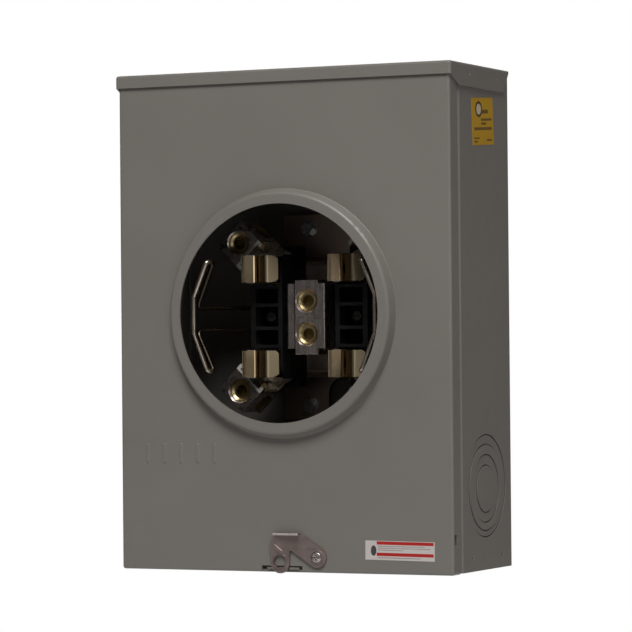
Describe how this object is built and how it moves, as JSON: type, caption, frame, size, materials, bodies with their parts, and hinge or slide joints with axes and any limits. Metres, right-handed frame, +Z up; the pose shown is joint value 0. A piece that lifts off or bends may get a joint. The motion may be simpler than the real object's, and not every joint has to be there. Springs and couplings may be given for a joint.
{
  "type": "meter socket enclosure",
  "caption": "Painted steel wall box with a round meter opening and raised ring, tipping front cover with a sealing latch, jaws, lugs and neutral inside.",
  "frame": {"origin": "on the flat back that meets the wall, behind the centre of the round meter opening", "axes": "+X to the right and +Z up as seen from the front, +Y into the wall; the cover faces -Y"},
  "size_m": [0.275, 0.121, 0.3728],
  "materials": {
    "paint": "grey powder coat, satin, faint orange peel",
    "screw_steel": "zinc plated steel",
    "latch_steel": "zinc plated steel, satin",
    "galvanized": "galvanized steel with faint spangle",
    "insulator": "black moulded phenolic",
    "wire": "bright zinc plated wire",
    "tinned_bar": "tin plated copper bar",
    "jaw": "tin plated copper strip",
    "spring_steel": "blued spring steel",
    "lug": "tin plated aluminium, satin",
    "set_screw": "yellow zinc plated steel",
    "side_label": "yellow sticker, blank",
    "front_label": "white sticker with plain red bands"
  },
  "bodies": {
    "enclosure": {"box_shell": "paint", "bottom_wall": "paint", "top_cap": "paint", "socket_bracket": "galvanized", "bracket_screws": "screw_steel", "insulator_left": "insulator", "insulator_right": "insulator", "block_screws": "screw_steel", "bar_screws": "screw_steel", "lug_mount_screws": "screw_steel", "neutral_strap": "galvanized", "neutral_channel": "lug", "neutral_body": "lug", "neutral_mount_screws": "screw_steel", "meter_support_left": "wire", "meter_support_right": "wire", "side_label": "side_label", "terminal_bar_upper_left": "tinned_bar", "jaw_upper_left": "jaw", "jaw_spring_upper_left": "spring_steel", "lug_upper_left": "lug", "terminal_bar_upper_right": "tinned_bar", "jaw_upper_right": "jaw", "jaw_spring_upper_right": "spring_steel", "lug_upper_right": "lug", "terminal_bar_lower_left": "tinned_bar", "jaw_lower_left": "jaw", "jaw_spring_lower_left": "spring_steel", "lug_lower_left": "lug", "terminal_bar_lower_right": "tinned_bar", "jaw_lower_right": "jaw", "jaw_spring_lower_right": "spring_steel", "lug_lower_right": "lug"},
    "cover": {"front_cover": "paint", "latch_rivet": "latch_steel", "front_label": "front_label"},
    "latch": {"latch": "latch_steel"},
    "set_screw_upper_left": {"set_screw_upper_left": "set_screw"},
    "set_screw_upper_right": {"set_screw_upper_right": "set_screw"},
    "set_screw_lower_left": {"set_screw_lower_left": "set_screw"},
    "set_screw_lower_right": {"set_screw_lower_right": "set_screw"},
    "neutral_set_screw_upper": {"neutral_set_screw_upper": "set_screw"},
    "neutral_set_screw_lower": {"neutral_set_screw_lower": "set_screw"}
  },
  "joints": [
    {"name": "cover_swing", "type": "hinge", "parent": "enclosure", "child": "cover", "pos_m": [0, -0.113, 0.1714], "axis": [-1, 0, 0], "range_deg": [0, 30]},
    {"name": "latch_turn", "type": "hinge", "parent": "cover", "child": "latch", "pos_m": [0.0275, -0.114, -0.1795], "axis": [0, 1, 0], "range_deg": [0, 105]},
    {"name": "set_screw_upper_left_travel", "type": "slide", "parent": "enclosure", "child": "set_screw_upper_left", "axis": [0, 1, 0], "range_m": [0, 0.007]},
    {"name": "set_screw_upper_right_travel", "type": "slide", "parent": "enclosure", "child": "set_screw_upper_right", "axis": [0, 1, 0], "range_m": [0, 0.007]},
    {"name": "set_screw_lower_left_travel", "type": "slide", "parent": "enclosure", "child": "set_screw_lower_left", "axis": [0, 1, 0], "range_m": [0, 0.007]},
    {"name": "set_screw_lower_right_travel", "type": "slide", "parent": "enclosure", "child": "set_screw_lower_right", "axis": [0, 1, 0], "range_m": [0, 0.007]},
    {"name": "neutral_set_screw_upper_travel", "type": "slide", "parent": "enclosure", "child": "neutral_set_screw_upper", "axis": [0, 1, 0], "range_m": [0, 0.007]},
    {"name": "neutral_set_screw_lower_travel", "type": "slide", "parent": "enclosure", "child": "neutral_set_screw_lower", "axis": [0, 1, 0], "range_m": [0, 0.007]}
  ]
}
